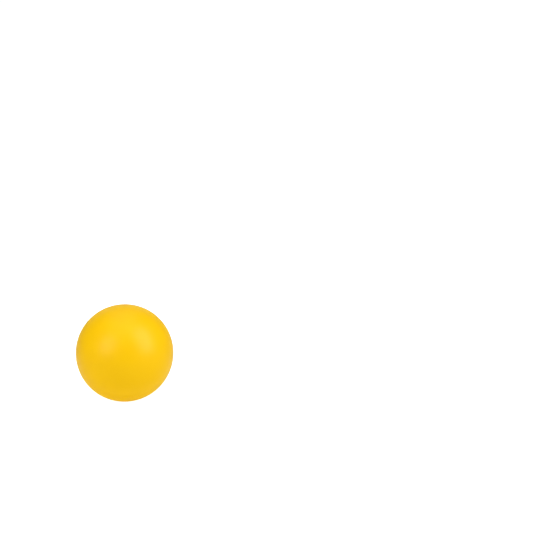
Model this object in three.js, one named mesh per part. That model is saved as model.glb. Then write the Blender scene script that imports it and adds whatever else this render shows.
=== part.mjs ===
// A turned wooden croquet ball in its finish: a pine core, filler in the marks that the lathe's
// centres left at its poles, a white primer over the wood and a yellow lacquer over the primer.
// Millimetres, +Z up. The origin is the centre of the ball. The lathe axis and the grain run along
// Y, from the front pole at -Y to the back pole at +Y. The pin that the ball was sprayed and dried
// on has left a narrow hole at the back pole, through the finish and the filler and into the wood.
import * as THREE from "three";

// Driving dimensions. Angles are in degrees.
const ballDiameter = 60;
const lacquerThickness = 0.2;
const primerThickness = 0.15;
const bondGap = 0.05; // between one layer and the next
const markRimAngle = 5; // of a lathe centre's mark, from the pole to its rim
const markDepth = 2; // from the plane of the rim to the mark's flat floor
const markHalfAngle = 30; // of the cone, to its axis
const pinDiameter = 2;
const pinDepth = 14; // below the wood's pole, to where the pin's point begins
const pinHalfAngle = 30; // of the point, to its axis

// Facets. A multiple of four segments and a ring at the equator give the ball its full width.
const segments = 32;
const ringStep = 10;

// Radii of the layers, from the outside in
const lacquerRadius = ballDiameter / 2;
const primerRadius = lacquerRadius - lacquerThickness - bondGap;
const coreRadius = primerRadius - primerThickness - bondGap;
const pinRadius = pinDiameter / 2;

// The end of the lathe axis that a pole lies at
const front = -1;
const back = 1;

// Every profile is drawn as (distance from the lathe axis, place along it) and turned round Y.

function onCircle(radius, angleFromFront) {
  const angle = THREE.MathUtils.degToRad(angleFromFront);
  return new THREE.Vector2(radius * Math.sin(angle), -radius * Math.cos(angle));
}

// A point on the shallow cone of facets between a pole and the ring at a mark's rim.
function onCap(radius, end, distance) {
  const rim = onCircle(radius, markRimAngle);
  const drop = (radius + rim.y) * (distance / rim.x);
  return new THREE.Vector2(distance, end * (radius - drop));
}

// The rings of every layer, as angles from the front pole. All layers share them, so that their
// facets are parallel and the gaps between them are even.
const ringAngles = [markRimAngle];
for (let angle = ringStep; angle < 180; angle += ringStep) {
  ringAngles.push(angle);
}
ringAngles.push(180 - markRimAngle);

// A layer's surface, from the ring round the front pole to the ring round the back one.
function rings(radius) {
  return ringAngles.map((angle) => onCircle(radius, angle));
}

// A lathe centre's mark in the core is a cone with a flat floor.
const markRim = onCircle(coreRadius, 180 - markRimAngle);
const markFloorRadius =
  markRim.x - markDepth * Math.tan(THREE.MathUtils.degToRad(markHalfAngle));
const markFloorPlace = markRim.y - markDepth;

// The solid ball, with a mark at each pole and the pin's blind, pointed hole in the back one.
function coreProfile() {
  const pointStart = coreRadius - pinDepth;
  const pointLength = pinRadius / Math.tan(THREE.MathUtils.degToRad(pinHalfAngle));
  return [
    new THREE.Vector2(0, front * markFloorPlace),
    new THREE.Vector2(markFloorRadius, front * markFloorPlace),
    ...rings(coreRadius),
    new THREE.Vector2(markFloorRadius, back * markFloorPlace),
    new THREE.Vector2(pinRadius, back * markFloorPlace),
    new THREE.Vector2(pinRadius, back * pointStart),
    new THREE.Vector2(0, back * (pointStart - pointLength)),
  ];
}

// The plug that fills the front mark, flush with the wood.
function frontFillerProfile() {
  const floor = front * (markFloorPlace + bondGap);
  return [
    onCap(coreRadius, front, 0),
    onCap(coreRadius, front, markRim.x - bondGap),
    new THREE.Vector2(markFloorRadius - bondGap, floor),
    new THREE.Vector2(0, floor),
  ];
}

// The ring that fills the back mark round the pin hole, flush with the wood.
function backFillerProfile() {
  const floor = back * (markFloorPlace + bondGap);
  return [
    new THREE.Vector2(pinRadius, floor),
    new THREE.Vector2(markFloorRadius - bondGap, floor),
    onCap(coreRadius, back, markRim.x - bondGap),
    onCap(coreRadius, back, pinRadius),
    new THREE.Vector2(pinRadius, floor),
  ];
}

// A coat of even thickness: its outside from the front pole to the pin hole, and its inside back.
function coatProfile(outerRadius, thickness) {
  const innerRadius = outerRadius - thickness;
  return [
    onCircle(outerRadius, 0),
    ...rings(outerRadius),
    onCap(outerRadius, back, pinRadius),
    onCap(innerRadius, back, pinRadius),
    ...rings(innerRadius).reverse(),
    onCircle(innerRadius, 0),
  ];
}

const pine = { color: 0xe2bd8a, roughness: 0.75, metalness: 0 };
const woodFiller = { color: 0xc9a272, roughness: 0.9, metalness: 0 };
const whitePrimer = { color: 0xefece4, roughness: 0.8, metalness: 0 };
const yellowLacquer = { color: 0xf8c81d, roughness: 0.4, metalness: 0 };

function turned(name, profile, finish) {
  const geometry = new THREE.LatheGeometry(profile, segments);
  const mesh = new THREE.Mesh(geometry, new THREE.MeshStandardMaterial(finish));
  mesh.name = name;
  return mesh;
}

const ball = new THREE.Group();
ball.add(
  turned("wooden_core", coreProfile(), pine),
  turned("front_centre_filler", frontFillerProfile(), woodFiller),
  turned("back_centre_filler", backFillerProfile(), woodFiller),
  turned("primer_coat", coatProfile(primerRadius, primerThickness), whitePrimer),
  turned("lacquer_coat", coatProfile(lacquerRadius, lacquerThickness), yellowLacquer),
);

export default ball;
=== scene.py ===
"""The looks of a turned wooden croquet ball in satin yellow lacquer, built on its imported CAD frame.

Metres, +Z up, in the CAD's frame: the origin is the centre of the ball, and the lathe axis and the
grain run along Y, from the plain front pole at -Y to the drying pin's hole at the back pole, +Y.
The CAD's layers are faceted, so a fine mesh of the same layer takes the place of each.
"""
import math

import bmesh
import bpy
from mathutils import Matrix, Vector, noise

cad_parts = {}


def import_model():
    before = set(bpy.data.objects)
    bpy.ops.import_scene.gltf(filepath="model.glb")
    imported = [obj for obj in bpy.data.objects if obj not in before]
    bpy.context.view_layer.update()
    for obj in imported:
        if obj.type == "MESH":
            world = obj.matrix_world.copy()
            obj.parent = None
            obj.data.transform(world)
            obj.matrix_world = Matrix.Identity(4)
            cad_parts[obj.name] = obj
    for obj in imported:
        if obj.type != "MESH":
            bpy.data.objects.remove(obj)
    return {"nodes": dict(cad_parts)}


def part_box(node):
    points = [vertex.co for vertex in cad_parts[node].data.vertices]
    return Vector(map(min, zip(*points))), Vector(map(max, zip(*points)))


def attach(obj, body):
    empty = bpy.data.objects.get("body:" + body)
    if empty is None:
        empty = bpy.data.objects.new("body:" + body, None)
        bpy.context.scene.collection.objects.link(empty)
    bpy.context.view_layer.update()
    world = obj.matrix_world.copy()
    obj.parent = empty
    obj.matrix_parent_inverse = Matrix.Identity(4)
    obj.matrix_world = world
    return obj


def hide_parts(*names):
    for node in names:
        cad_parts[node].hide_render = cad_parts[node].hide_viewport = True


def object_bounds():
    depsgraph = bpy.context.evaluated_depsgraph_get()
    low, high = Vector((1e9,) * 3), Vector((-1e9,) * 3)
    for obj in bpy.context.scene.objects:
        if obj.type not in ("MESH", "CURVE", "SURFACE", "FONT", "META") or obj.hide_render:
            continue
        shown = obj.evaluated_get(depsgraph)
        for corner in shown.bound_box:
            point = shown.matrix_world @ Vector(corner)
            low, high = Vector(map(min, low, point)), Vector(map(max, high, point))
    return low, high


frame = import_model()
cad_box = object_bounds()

MM = 0.001
HAIR = 0.001 * MM  # points closer than this are taken as one

# ------------------------------------------------------------ sizes, read from the frame


def corners(node):
    return [vertex.co for vertex in frame["nodes"][node].data.vertices]


def from_axis(point):
    return math.hypot(point.x, point.z)


def equator_radii(node):
    """The inner and the outer radius of a layer, from its vertices on the equator."""
    radii = [from_axis(point) for point in corners(node) if abs(point.y) < HAIR]
    return min(radii), max(radii)


LACQUER_INSIDE, LACQUER_OUTSIDE = equator_radii("lacquer_coat")
PRIMER_INSIDE, PRIMER_OUTSIDE = equator_radii("primer_coat")
CORE_RADIUS = equator_radii("wooden_core")[1]
BOND_GAP = LACQUER_INSIDE - PRIMER_OUTSIDE

# The fillers at the two poles mirror each other. Places are distances along Y from the centre.
FILLER_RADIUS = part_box("front_centre_filler")[1].x
FILLER_FLOOR = -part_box("front_centre_filler")[1].y
FILLER_FLOOR_RADIUS = max(
    from_axis(point)
    for point in corners("front_centre_filler")
    if abs(point.y + FILLER_FLOOR) < HAIR
)
PIN_RADIUS = min(from_axis(point) for point in corners("back_centre_filler"))
PIN_TIP = max(point.y for point in corners("wooden_core") if from_axis(point) < HAIR)
PIN_POINT_START = min(
    point.y for point in corners("wooden_core") if abs(from_axis(point) - PIN_RADIUS) < HAIR
)

# ------------------------------------------------------------ turned meshes
#
# A mesh is a list of rings round the lathe axis, each (count, distance, place): the number of its
# points, their distance from the axis and their place along it. The ends close in a round grid, a
# square grid bent round: its middle is one point, and its rings have 8, 16, 24 and more points.


def grid_count(i):
    """The number of points in ring i of a round grid."""
    return max(8 * i, 1)


def bridge(bm, first, second):
    """Quads between two rings of equal counts, or between two neighbours in a round grid."""
    small, large = sorted((first, second), key=len)
    if len(small) == len(large):
        for i in range(len(small)):
            bm.faces.new((small[i - 1], small[i], large[i], large[i - 1]))
        return
    small_side, large_side = len(small) // 4, len(large) // 4
    for side in range(4):
        start, corner = side * small_side, side * large_side
        bm.faces.new((small[start], large[corner - 1], large[corner], large[corner + 1]))
        for i in range(small_side):
            bm.faces.new((
                small[start + i],
                large[corner + i + 1],
                large[(corner + i + 2) % len(large)],
                small[(start + i + 1) % len(small)],
            ))


def turned(rings, closed=False):
    """A bmesh over the rings. Both its ends are poles, or meet each other if it is closed."""
    bm = bmesh.new()
    loops = []
    for count, distance, place in rings:
        turn = 2 * math.pi / count
        loops.append([
            bm.verts.new((distance * math.cos(turn * i), place, distance * math.sin(turn * i)))
            for i in range(count)
        ])
    following = loops[1:] + loops[:1] if closed else loops[1:]
    for loop, next_loop in zip(loops, following):
        bridge(bm, loop, next_loop)
    bmesh.ops.recalc_face_normals(bm, faces=bm.faces)
    return bm


def straight(count, start, end, steps):
    """Rings along a straight line, from just after its start to its end."""
    return [
        (count, *(a + (b - a) * i / steps for a, b in zip(start, end))) for i in range(1, steps + 1)
    ]


def height(radius, distance):
    """The place, at the back, of a point on a sphere at a distance from the axis."""
    return math.sqrt(radius ** 2 - distance ** 2)


def ball(radius, grid, skipped_front, skipped_back):
    """The rings of a sphere from front to back. Each cap is a round grid of as many rings as grid
    says, less the skipped ones round its pole."""
    last = 4 * grid  # each cap takes a quarter of the way from pole to pole
    rings = []
    for i in range(skipped_front, last - skipped_back + 1):
        angle = math.pi * i / last
        count = grid_count(min(i, grid, last - i))
        rings.append((count, radius * math.sin(angle), -radius * math.cos(angle)))
    return rings


def laid(rings, face):
    """The rings, each moved along the axis to the place that face gives for its distance."""
    return [(count, distance, face(distance)) for count, distance, _ in rings]


def smooth_step(value, low, high):
    share = min(max((value - low) / (high - low), 0), 1)
    return share * share * (3 - 2 * share)


def piece(name, bm, node, material):
    """The bmesh as an object that stands for a CAD node."""
    mesh = bpy.data.meshes.new(name)
    bm.to_mesh(mesh)
    bm.free()
    mesh.shade_smooth()
    mesh.materials.append(material)
    made = bpy.data.objects.new(name, mesh)
    bpy.context.scene.collection.objects.link(made)
    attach(made, "root")
    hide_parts(node)


# ------------------------------------------------------------ wood: the core and its fillers

WOOD_GRID = 32
MARK_RINGS = 4  # of the round grid, that a lathe centre's mark takes the place of
MARK_COUNT = grid_count(MARK_RINGS)
MARK_RADIUS = FILLER_RADIUS + BOND_GAP
MARK_FLOOR_RADIUS = FILLER_FLOOR_RADIUS + BOND_GAP
MARK_FLOOR = FILLER_FLOOR - BOND_GAP
FLOOR_STEPS = 2  # from a mark's wall to the pin hole
WALL_STEPS = 4
HOLE_STEPS = 16
FILLER_DISH = 0.03 * MM  # that a filler shrank below the wood in its middle


def mirrored(rings):
    """The same rings at the other end of the axis, in the opposite order."""
    return [(count, distance, -place) for count, distance, place in rings[::-1]]


def disc(radius, place):
    """A flat round grid, from its middle to its edge."""
    return [(grid_count(i), radius * i / MARK_RINGS, place) for i in range(MARK_RINGS + 1)]


def core_bmesh():
    rim = (MARK_RADIUS, -height(CORE_RADIUS, MARK_RADIUS))
    front_mark = disc(MARK_FLOOR_RADIUS, -MARK_FLOOR)
    front_mark += straight(MARK_COUNT, front_mark[-1][1:], rim, WALL_STEPS)
    outside = ball(CORE_RADIUS, WOOD_GRID, skipped_front=MARK_RINGS, skipped_back=MARK_RINGS)
    back_mark = mirrored(front_mark)[: -MARK_RINGS]
    mouth = (PIN_RADIUS, MARK_FLOOR)
    hole = straight(MARK_COUNT, back_mark[-1][1:], mouth, FLOOR_STEPS)
    hole += straight(MARK_COUNT, mouth, (PIN_RADIUS, PIN_POINT_START), HOLE_STEPS)
    for i in range(MARK_RINGS - 1, -1, -1):
        share = i / MARK_RINGS
        place = PIN_TIP + (PIN_POINT_START - PIN_TIP) * share
        hole.append((grid_count(i), PIN_RADIUS * share, place))
    return turned(front_mark + outside + back_mark + hole)


def filler_face(distance):
    """The place of a filler's face, dished below the wood round it."""
    dish = FILLER_DISH * (1 - (distance / FILLER_RADIUS) ** 2)
    return height(CORE_RADIUS, distance) - dish


def front_filler_bmesh():
    face = laid(disc(FILLER_RADIUS, 0), lambda distance: -filler_face(distance))
    wall = straight(MARK_COUNT, face[-1][1:], (FILLER_FLOOR_RADIUS, -FILLER_FLOOR), WALL_STEPS)
    floor = disc(FILLER_FLOOR_RADIUS, -FILLER_FLOOR)[-2::-1]
    return turned(face + wall + floor)


def back_filler_bmesh():
    mouth = (PIN_RADIUS, filler_face(PIN_RADIUS))
    rim = (FILLER_RADIUS, filler_face(FILLER_RADIUS))
    face = laid(straight(MARK_COUNT, mouth, rim, WALL_STEPS), filler_face)
    wall = straight(MARK_COUNT, rim, (FILLER_FLOOR_RADIUS, FILLER_FLOOR), WALL_STEPS)
    floor_edge = (PIN_RADIUS, FILLER_FLOOR)
    hole = straight(MARK_COUNT, floor_edge, mouth, WALL_STEPS)
    return turned(face + wall + [(MARK_COUNT, *floor_edge)] + hole, closed=True)


# ------------------------------------------------------------ the finish: primer and lacquer

OUTSIDE_GRID = 40
INSIDE_GRID = 20
HOLE_RINGS = 6  # of a round grid, that the rings round the pin hole take the place of
HOLE_COUNT = grid_count(HOLE_RINGS)
HOLE_STEP = 0.12 * MM  # between the rings round the pin hole
LIP_RADIUS = 0.09 * MM
LIP_STEPS = 6
INSIDE_STEPS = 8  # from the pin hole to the round grid inside

# How the lacquer dried round the pin, and over the filler under it
SINK_DEPTH = 0.06 * MM
SINK_START, SINK_END = 1.2 * MM, 3.2 * MM
COLLAR_HEIGHT = 0.035 * MM
COLLAR_DISTANCE = 1.45 * MM
COLLAR_WIDTH = 0.3 * MM


def lacquer_face(distance):
    """The place of the lacquer's outside near the pin hole."""
    sink = SINK_DEPTH * (1 - smooth_step(distance, SINK_START, SINK_END))
    collar = COLLAR_HEIGHT * math.exp(-(((distance - COLLAR_DISTANCE) / COLLAR_WIDTH) ** 2))
    return height(LACQUER_OUTSIDE, distance) - sink + collar


def coat_bmesh(inside, outside, face):
    """A shell with the pin hole in its back. face gives the place of its outside near the hole,
    and the shell turns over a rounded lip into the hole."""
    outer = ball(outside, OUTSIDE_GRID, skipped_front=0, skipped_back=HOLE_RINGS)
    inner = ball(inside, INSIDE_GRID, skipped_front=0, skipped_back=HOLE_RINGS)
    edge = PIN_RADIUS + LIP_RADIUS
    steps = round((outer[-1][1] - edge) / HOLE_STEP)
    approach = laid(straight(HOLE_COUNT, outer[-1][1:], (edge, 0), steps), face)
    lip = []
    for i in range(1, LIP_STEPS + 1):
        angle = math.pi / 2 * i / LIP_STEPS
        distance = edge - LIP_RADIUS * math.sin(angle)
        lip.append((HOLE_COUNT, distance, face(edge) - LIP_RADIUS * (1 - math.cos(angle))))
    hole_end = (HOLE_COUNT, PIN_RADIUS, 0)
    leave = [hole_end] + straight(HOLE_COUNT, hole_end[1:], inner[-1][1:], INSIDE_STEPS)
    leave = laid(leave, lambda distance: height(inside, distance))
    return turned(outer + approach + lip + leave + inner[-2::-1])


# The lathe axis runs beside the tree's: the pith lies outside the ball, on the left and low.
PITH = Vector((-38 * MM, 0, -22 * MM))
GROWTH_RING = 9 * MM
GROWTH_RELIEF = 0.006 * MM  # of the late wood, felt through the finish
LATE_WOOD_POWER = 3  # the higher it is, the narrower is the late wood's ridge
SANDING_LENGTH = 16 * MM
SANDING_DEPTH = 0.012 * MM
DISH_DEPTH = 0.012 * MM  # of the finish over the front filler
DISH_START, DISH_END = 0.5 * FILLER_RADIUS, 1.2 * FILLER_RADIUS
FADE_START, FADE_END = SINK_END, 3 * SINK_END  # where the relief fades in round the pin hole

# A speck of dust under the lacquer. The mesh is cut more finely within its reach.
NIB = Vector((-0.70, -0.583, 0.4125)).normalized() * LACQUER_OUTSIDE
NIB_WIDTH = 0.55 * MM
NIB_HEIGHT = 0.1 * MM
NIB_REACH = 4 * NIB_WIDTH
NIB_CUTS = 5


def lacquer_relief(point):
    """How far the lacquer's outside lies below its sphere at a point: a few hundredths of a
    millimetre at most, and less than nothing on the nib."""
    rings = from_axis(point - PITH) / GROWTH_RING
    late_wood = (0.5 + 0.5 * math.cos(2 * math.pi * rings)) ** LATE_WOOD_POWER
    sanding = 0.5 - 0.5 * noise.noise(point / SANDING_LENGTH)
    from_pole = from_axis(point) if point.y < 0 else math.inf
    dish = 1 - smooth_step(from_pole, DISH_START, DISH_END)
    nib = math.exp(-(((point - NIB).length / NIB_WIDTH) ** 2))
    return (
        GROWTH_RELIEF * (1 - late_wood)
        + SANDING_DEPTH * sanding
        + DISH_DEPTH * dish
        - NIB_HEIGHT * nib
    )


def on_lacquer_outside(vertex):
    return vertex.co.length > (LACQUER_INSIDE + LACQUER_OUTSIDE) / 2


def lacquer_bmesh():
    bm = coat_bmesh(LACQUER_INSIDE, LACQUER_OUTSIDE, lacquer_face)
    near_nib = [
        edge for edge in bm.edges
        if all(on_lacquer_outside(end) and (end.co - NIB).length < NIB_REACH for end in edge.verts)
    ]
    bmesh.ops.subdivide_edges(bm, edges=near_nib, cuts=NIB_CUTS, use_grid_fill=True)
    for vertex in bm.verts:
        from_hole = from_axis(vertex.co) if vertex.co.y > 0 else math.inf
        if on_lacquer_outside(vertex) and from_hole >= FADE_START:
            towards = vertex.co.normalized()
            fade = smooth_step(from_hole, FADE_START, FADE_END)
            relief = lacquer_relief(towards * LACQUER_OUTSIDE) * fade
            vertex.co = towards * (LACQUER_OUTSIDE - relief)
    return bm


# ------------------------------------------------------------ materials


class Look:
    """The nodes of a material or a world: its shader, and short forms of the nodes used here."""

    def __init__(self, owner, shader, coordinates):
        owner.use_nodes = True
        self.owner = owner
        self.tree = owner.node_tree
        self.shader = self.tree.nodes[shader]
        self.place = self.node("ShaderNodeTexCoord").outputs[coordinates]

    def node(self, kind, **settings):
        made = self.tree.nodes.new(kind)
        for name, value in settings.items():
            setattr(made, name, value)
        return made

    def feed(self, socket, value):
        """Links an output to the socket, or sets the socket to a constant."""
        if isinstance(value, bpy.types.NodeSocket):
            self.tree.links.new(value, socket)
        else:
            socket.default_value = value

    def set(self, **inputs):
        for name, value in inputs.items():
            self.feed(self.shader.inputs[name.replace("_", " ")], value)

    def stretched(self, scale, shift=(0, 0, 0)):
        """The coordinates, scaled along each axis and then shifted."""
        made = self.node("ShaderNodeMapping")
        self.feed(made.inputs["Vector"], self.place)
        made.inputs["Scale"].default_value = scale
        made.inputs["Location"].default_value = shift
        return made.outputs["Vector"]

    def noise(self, length, detail=2, vector=None):
        """Noise from 0 to 1 whose waves are about as long as length."""
        made = self.node("ShaderNodeTexNoise")
        self.feed(made.inputs["Vector"], vector or self.place)
        made.inputs["Scale"].default_value = 1 / length
        made.inputs["Detail"].default_value = detail
        return made.outputs["Fac"]

    def spread(self, value, low, high, start=0.3, end=0.7):
        """The value, from start to end, as a number from low to high."""
        made = self.node("ShaderNodeMapRange")
        self.feed(made.inputs["Value"], value)
        made.inputs["From Min"].default_value = start
        made.inputs["From Max"].default_value = end
        made.inputs["To Min"].default_value = low
        made.inputs["To Max"].default_value = high
        return made.outputs["Result"]

    def distance(self, centre, scale=(1, 1, 1)):
        """How far the coordinates, scaled along each axis, lie from the centre."""
        length = self.node("ShaderNodeVectorMath", operation="LENGTH")
        self.feed(length.inputs[0], self.stretched(scale, -centre))
        return length.outputs["Value"]

    def math(self, operation, first, second=0.0):
        made = self.node("ShaderNodeMath", operation=operation)
        self.feed(made.inputs[0], first)
        self.feed(made.inputs[1], second)
        return made.outputs["Value"]

    def blend(self, share, first, second):
        """The first value where share is 0, and the second where it is 1."""
        made = self.node("ShaderNodeMix")
        self.feed(made.inputs[0], share)
        self.feed(made.inputs[2], first)
        self.feed(made.inputs[3], second)
        return made.outputs[0]

    def colours(self, share, *stops):
        """A colour ramp: stops are (place, colour)."""
        made = self.node("ShaderNodeValToRGB")
        self.feed(made.inputs["Fac"], share)
        elements = made.color_ramp.elements
        while len(elements) < len(stops):
            elements.new(1)
        for element, (place, colour) in zip(elements, stops):
            element.position = place
            element.color = (*colour, 1)
        return made.outputs["Color"]

    def bump(self, relief, depth, below=None):
        """Normals of a relief from 0 to 1 that stands for a depth in metres."""
        made = self.node("ShaderNodeBump")
        made.inputs["Strength"].default_value = 1
        made.inputs["Distance"].default_value = depth
        self.feed(made.inputs["Height"], relief)
        if below:
            self.feed(made.inputs["Normal"], below)
        return made.outputs["Normal"]


def material_look(name):
    return Look(bpy.data.materials.new(name), "Principled BSDF", "Object")


def satin_lacquer():
    """Sprayed satin lacquer: even, with a faint orange peel."""
    look = material_look("satin_yellow_lacquer")
    cloud = look.noise(14 * MM, detail=3)
    mist = look.noise(2.5 * MM)
    peel = look.noise(1.4 * MM, detail=1)
    deep, pale = (0.968, 0.563, 0.0015), (0.982, 0.577, 0.0025)
    look.set(
        Base_Color=look.colours(cloud, (0.3, deep), (0.7, pale)),
        Roughness=look.spread(mist, 0.34, 0.4),
        Specular_IOR_Level=0.5,
        Normal=look.bump(peel, 0.004 * MM),
    )
    return look.owner


def sanded_primer():
    """Off-white primer, rubbed down between coats."""
    look = material_look("sanded_primer")
    cloud = look.noise(9 * MM, detail=4)
    scratches = look.noise(0.25 * MM, detail=3, vector=look.stretched((1, 0.08, 0.6)))
    dusty, clean = (0.83, 0.80, 0.735), (0.885, 0.865, 0.81)
    look.set(
        Base_Color=look.colours(cloud, (0.3, dusty), (0.75, clean)),
        Roughness=look.spread(cloud, 0.7, 0.86),
        Specular_IOR_Level=0.35,
        Normal=look.bump(scratches, 0.006 * MM),
    )
    return look.owner


def growth_rings(look):
    """0 in the early wood of each growth ring, rising to 1 at the end of its late wood."""
    wander = look.spread(look.noise(30 * MM, vector=look.stretched((1, 0.2, 1))), -0.16, 0.16)
    rings = look.math("DIVIDE", look.distance(PITH, scale=(1, 0, 1)), GROWTH_RING)
    return look.math("FRACT", look.math("ADD", rings, wander))


def sanded_pine():
    """Pine with wide growth rings, seen along and across its grain."""
    look = material_look("sanded_pine")
    ring = growth_rings(look)
    fibres = look.noise(0.35 * MM, detail=3, vector=look.stretched((1, 0.03, 1)))
    early, middle, late = (0.80, 0.56, 0.30), (0.76, 0.50, 0.25), (0.50, 0.245, 0.09)
    wood = look.colours(
        look.math("ADD", ring, look.spread(fibres, -0.05, 0.05)),
        (0.02, late), (0.1, early), (0.55, middle), (0.97, late),
    )
    look.set(
        Base_Color=wood,
        Roughness=look.spread(ring, 0.8, 0.62, start=0, end=1),
        Specular_IOR_Level=0.3,
        Normal=look.bump(fibres, 0.03 * MM, below=look.bump(ring, 0.02 * MM)),
    )
    return look.owner


def knifed_filler():
    """Wood filler: fine sawdust in a binder, with small pits."""
    look = material_look("knifed_filler")
    dust = look.noise(0.18 * MM, detail=4)
    cloud = look.noise(1.5 * MM)
    pits = look.spread(look.noise(0.4 * MM, detail=1), 0, 1, start=0.32, end=0.42)
    dark, middle, pale = (0.50, 0.295, 0.13), (0.59, 0.37, 0.175), (0.68, 0.46, 0.24)
    look.set(
        Base_Color=look.colours(dust, (0.3, dark), (0.55, middle), (0.8, pale)),
        Roughness=look.spread(cloud, 0.82, 0.95),
        Specular_IOR_Level=0.25,
        Normal=look.bump(pits, 0.02 * MM),
    )
    return look.owner


# ------------------------------------------------------------ the ball

filler = knifed_filler()
piece("turned_core", core_bmesh(), "wooden_core", sanded_pine())
piece("front_filler_plug", front_filler_bmesh(), "front_centre_filler", filler)
piece("back_filler_ring", back_filler_bmesh(), "back_centre_filler", filler)
piece(
    "primer_skin",
    coat_bmesh(PRIMER_INSIDE, PRIMER_OUTSIDE, lambda distance: height(PRIMER_OUTSIDE, distance)),
    "primer_coat",
    sanded_primer(),
)
piece("lacquer_skin", lacquer_bmesh(), "lacquer_coat", satin_lacquer())

# ------------------------------------------------------------ the stage

# The background is plain white in the picture, as on a lit sweep, but the camera alone sees that
# white. Gloss on the ball shows two softboxes, a top light and a dim room, in which the backdrop
# and a patch of the floor behind the ball are paler and light its rim. The rest of the light comes
# from a tent of panels whose reflections are filtered out, as polarised lights' are.
FLOOR_RADIUS = 6
FLOOR_SIDES = 96
PATCH_CENTRE = Vector((0, 0.11, 0))
PATCH_RADIUS, PATCH_EDGE = 0.06, 0.15  # where the pale patch starts and stops to fade
PATCH_GREY, FLOOR_GREY = 0.7, 0.15
BACKDROP_START, BACKDROP_END = 0.78, 0.95  # along Y of the direction from the ball
BACKDROP, ROOM = 0.32, 0.035
WHITE = 1.02


def floor():
    bm = bmesh.new()
    bmesh.ops.create_circle(bm, cap_ends=True, segments=FLOOR_SIDES, radius=FLOOR_RADIUS)
    mesh = bpy.data.meshes.new("floor")
    bm.to_mesh(mesh)
    bm.free()
    made = bpy.data.objects.new("floor", mesh)
    made.location.z = cad_box[0].z
    made.visible_shadow = False  # so that the tent's panel under it lights the ball
    bpy.context.scene.collection.objects.link(made)
    look = material_look("white_floor")
    seen = look.node("ShaderNodeLightPath").outputs["Is Camera Ray"]
    away = look.distance(PATCH_CENTRE)
    look.set(
        Base_Color=look.spread(away, PATCH_GREY, FLOOR_GREY, PATCH_RADIUS, PATCH_EDGE),
        Roughness=1,
        Specular_IOR_Level=0,
        Emission_Color=(1, 1, 1, 1),
        Emission_Strength=look.math("MULTIPLY", seen, WHITE),
    )
    mesh.materials.append(look.owner)


def world():
    look = Look(bpy.data.worlds.new("studio"), "Background", "Generated")
    seen = look.node("ShaderNodeLightPath").outputs["Is Camera Ray"]
    parts = look.node("ShaderNodeSeparateXYZ")
    look.feed(parts.inputs["Vector"], look.place)
    room = look.spread(parts.outputs["Y"], ROOM, BACKDROP, BACKDROP_START, BACKDROP_END)
    look.set(Color=(1, 1, 1, 1), Strength=look.blend(seen, room, WHITE))
    bpy.context.scene.world = look.owner


LIGHT_DISTANCE = 1.1
TENT_WIDTH = 1.4
TENT_RADIANCE = {"x": 1.3, "y": 1.33, "z": 1.45}  # of the two panels on each axis


def direction(azimuth, elevation):
    """From the ball. Azimuth 0 is in front of it, at -Y, and 90 on its right, at +X."""
    around, up = math.radians(azimuth), math.radians(elevation)
    return Vector((math.sin(around) * math.cos(up), -math.cos(around) * math.cos(up), math.sin(up)))


def panel(name, towards, width, tall, radiance, roll=0, mirrored=True):
    """A light that faces the ball. Gloss doesn't show it unless it is mirrored."""
    light = bpy.data.lights.new(name, "AREA")
    light.shape = "RECTANGLE"
    light.size = width
    light.size_y = tall
    light.energy = radiance * math.pi * width * tall
    light.cycles.use_multiple_importance_sampling = mirrored
    made = bpy.data.objects.new(name, light)
    made.location = towards * LIGHT_DISTANCE
    made.rotation_euler = towards.to_track_quat("Z", "Y").to_euler()
    made.rotation_euler.rotate_axis("Z", math.radians(roll))
    made.visible_camera = False
    made.visible_glossy = mirrored
    bpy.context.scene.collection.objects.link(made)


def tent():
    for axis, radiance in TENT_RADIANCE.items():
        for side in (-1, 1):
            towards = Vector()
            setattr(towards, axis, side)
            panel(f"tent_{axis}_{side}", towards, TENT_WIDTH, TENT_WIDTH, radiance, mirrored=False)


LENS = 100  # mm, as is the sensor's width
SENSOR = 36
VIEW_ELEVATION = math.radians(21.5)

# The ball's width and its place from the picture's middle, in shares of the picture's width
BALL_ACROSS = 0.178
BALL_RIGHT = -0.2732
BALL_UP = -0.1415

# Off its axis a lens widens a ball's outline by 1 / cos one way and by 1 / cos ** 2 the other, so
# its mean width grows with this power of 1 / cos.
WIDENING_POWER = 1.5


def camera():
    """Level, and turned so that the ball lies low on the left of the picture."""
    focal = LENS / SENSOR
    to_ball = Vector((BALL_RIGHT, BALL_UP, focal))
    drop = math.atan2(BALL_UP, focal)
    pitch = drop + math.asin(to_ball.length * math.sin(VIEW_ELEVATION) / math.hypot(BALL_UP, focal))
    yaw = math.atan2(BALL_RIGHT, BALL_UP * math.sin(pitch) + focal * math.cos(pitch))
    off_axis = to_ball.angle(Vector((0, 0, 1)))
    half_width = BALL_ACROSS / 2 * math.cos(off_axis) ** WIDENING_POWER
    distance = LACQUER_OUTSIDE / math.sin(math.atan(half_width / focal))
    data = bpy.data.cameras.new("camera")
    data.lens = LENS
    data.sensor_width = SENSOR
    made = bpy.data.objects.new("camera", data)
    made.location = Vector((0, -math.cos(VIEW_ELEVATION), math.sin(VIEW_ELEVATION))) * distance
    made.rotation_euler = (math.pi / 2 - pitch, 0, yaw)
    bpy.context.scene.collection.objects.link(made)
    bpy.context.scene.camera = made


floor()
world()
tent()
panel("left_softbox", direction(-47.6, 34), width=0.58, tall=0.80, radiance=1.24, roll=-16)
panel("right_softbox", direction(62.8, 37.5), width=0.62, tall=1.05, radiance=1.68, roll=-14)
panel("top_light", direction(180, 80), width=0.85, tall=1.4, radiance=0.33)
camera()
bpy.context.scene.view_settings.view_transform = "Standard"
